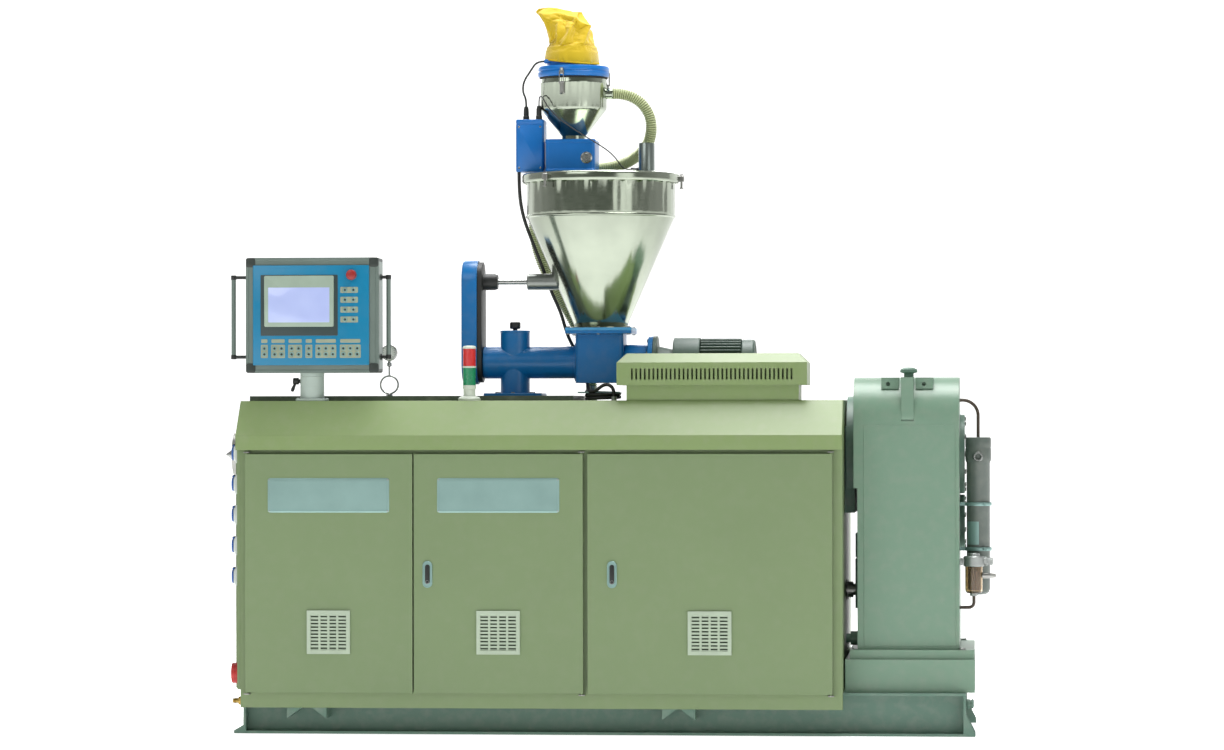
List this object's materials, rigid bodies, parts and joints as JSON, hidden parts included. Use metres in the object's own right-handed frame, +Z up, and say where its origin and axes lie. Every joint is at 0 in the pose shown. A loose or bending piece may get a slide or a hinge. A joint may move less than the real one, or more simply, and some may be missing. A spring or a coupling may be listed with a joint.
{
  "type": "plastic extruder",
  "caption": "Conical twin-screw plastic extruder with cabinet doors, gearbox, metering feeder, steel hopper, vacuum loader and swivelling operator panel.",
  "frame": {"origin": "on the floor under the middle of the channel base", "axes": "+X along the machine from the die flange to the gearbox, -Y towards the operator, +Z up"},
  "size_m": [3.164, 1.09, 2.955],
  "materials": {
    "cover_green": "satin",
    "door_green": "satin",
    "gearbox_green": "satin",
    "base_green": "satin",
    "feeder_blue": "gloss",
    "loader_blue": "gloss",
    "motor_grey": "satin",
    "steel": "brushed",
    "polished_steel": "polished",
    "zinc": "satin",
    "panel_blue": "matt",
    "black_plastic": "matt",
    "signal_plastic": "gloss",
    "brass": "worn",
    "hose": "matt",
    "bag_cloth": "woven"
  },
  "bodies": {
    "machine": {"base_rail_front": "base_green", "base_rail_rear": "base_green", "base_cross_members": "base_green", "foot_plates": "base_green", "rail_brackets": "base_green", "cabinet_floor": "door_green", "cabinet_front_frame": "door_green", "cabinet_rear": "door_green", "cabinet_left_end": "door_green", "cabinet_right_end": "door_green", "top_cover": "cover_green", "deck_plate": "cover_green", "bulkhead": "zinc", "hinge_brackets": "steel", "socket_box": "door_green", "left_end_fittings": "black_plastic", "barrel": "steel", "gearbox_case": "gearbox_green", "gearbox_lugs": "gearbox_green", "gearbox_foot": "base_green", "gearbox_fittings": "gearbox_green", "transition_housing": "gearbox_green", "main_motor": "motor_grey", "oil_cooler": "gearbox_green", "oil_filter": "zinc", "oil_pipes": "motor_grey", "feeder_housing": "feeder_blue", "feed_drive": "motor_grey", "belt_guard": "feeder_blue", "hopper": "polished_steel", "hopper_lid": "polished_steel", "loader_base": "loader_blue", "loader_vessel": "polished_steel", "loader_head": "loader_blue", "filter_bag": "bag_cloth", "panel_pedestal": "zinc", "vent_hood": "cover_green", "vacuum_gauge": "brass", "signal_tower": "signal_plastic", "cover_fittings": "black_plastic", "suction_hose": "hose", "loader_cable": "black_plastic", "loader_cable_coil": "black_plastic", "loader_cable_tail": "black_plastic", "motor_cable": "black_plastic", "sensor_cable": "black_plastic"},
    "door_left": {"door_left": "door_green", "door_fittings_left": "door_green"},
    "door_middle": {"door_middle": "door_green", "door_fittings_middle": "door_green"},
    "door_right": {"door_right": "door_green", "door_fittings_right": "door_green"},
    "main_drive": {"drive_coupling": "steel"},
    "screw_front": {"screw_front": "steel"},
    "screw_rear": {"screw_rear": "steel"},
    "agitator": {"agitator_shaft": "steel"},
    "operator_panel": {"panel_swivel": "zinc", "panel_housing": "zinc", "panel_face": "panel_blue"}
  },
  "joints": [
    {"name": "door_left_hinge", "type": "hinge", "parent": "machine", "child": "door_left", "pos_m": [-1.421, -0.5305, 0.648], "axis": [0, 0, -1], "range_deg": [0, 105]},
    {"name": "door_middle_hinge", "type": "hinge", "parent": "machine", "child": "door_middle", "pos_m": [-0.073, -0.5305, 0.648], "axis": [0, 0, 1], "range_deg": [0, 90]},
    {"name": "door_right_hinge", "type": "hinge", "parent": "machine", "child": "door_right", "pos_m": [0.919, -0.5305, 0.648], "axis": [0, 0, 1], "range_deg": [0, 105]},
    {"name": "main_drive_spin", "type": "hinge", "parent": "machine", "child": "main_drive", "pos_m": [0.985, 0, 0.566], "axis": [1, 0, 0], "continuous": true},
    {"name": "screw_front_spin", "type": "hinge", "parent": "machine", "child": "screw_front", "pos_m": [-1.56, -0.037, 1.118], "axis": [1, 0, 0], "continuous": true},
    {"name": "screw_rear_spin", "type": "hinge", "parent": "machine", "child": "screw_rear", "pos_m": [-1.56, 0.037, 1.118], "axis": [1, 0, 0], "continuous": true},
    {"name": "agitator_spin", "type": "hinge", "parent": "machine", "child": "agitator", "pos_m": [-0.4, 0, 1.826], "axis": [1, 0, 0], "continuous": true},
    {"name": "panel_swivel_turn", "type": "hinge", "parent": "machine", "child": "operator_panel", "pos_m": [-1.183, -0.35, 1.4], "axis": [0, 0, 1], "range_deg": [-90, 90]}
  ],
  "couplings": [
    {"joint": "screw_front_spin", "follows": "main_drive_spin", "ratio": 0.027},
    {"joint": "screw_rear_spin", "follows": "main_drive_spin", "ratio": -0.027}
  ]
}
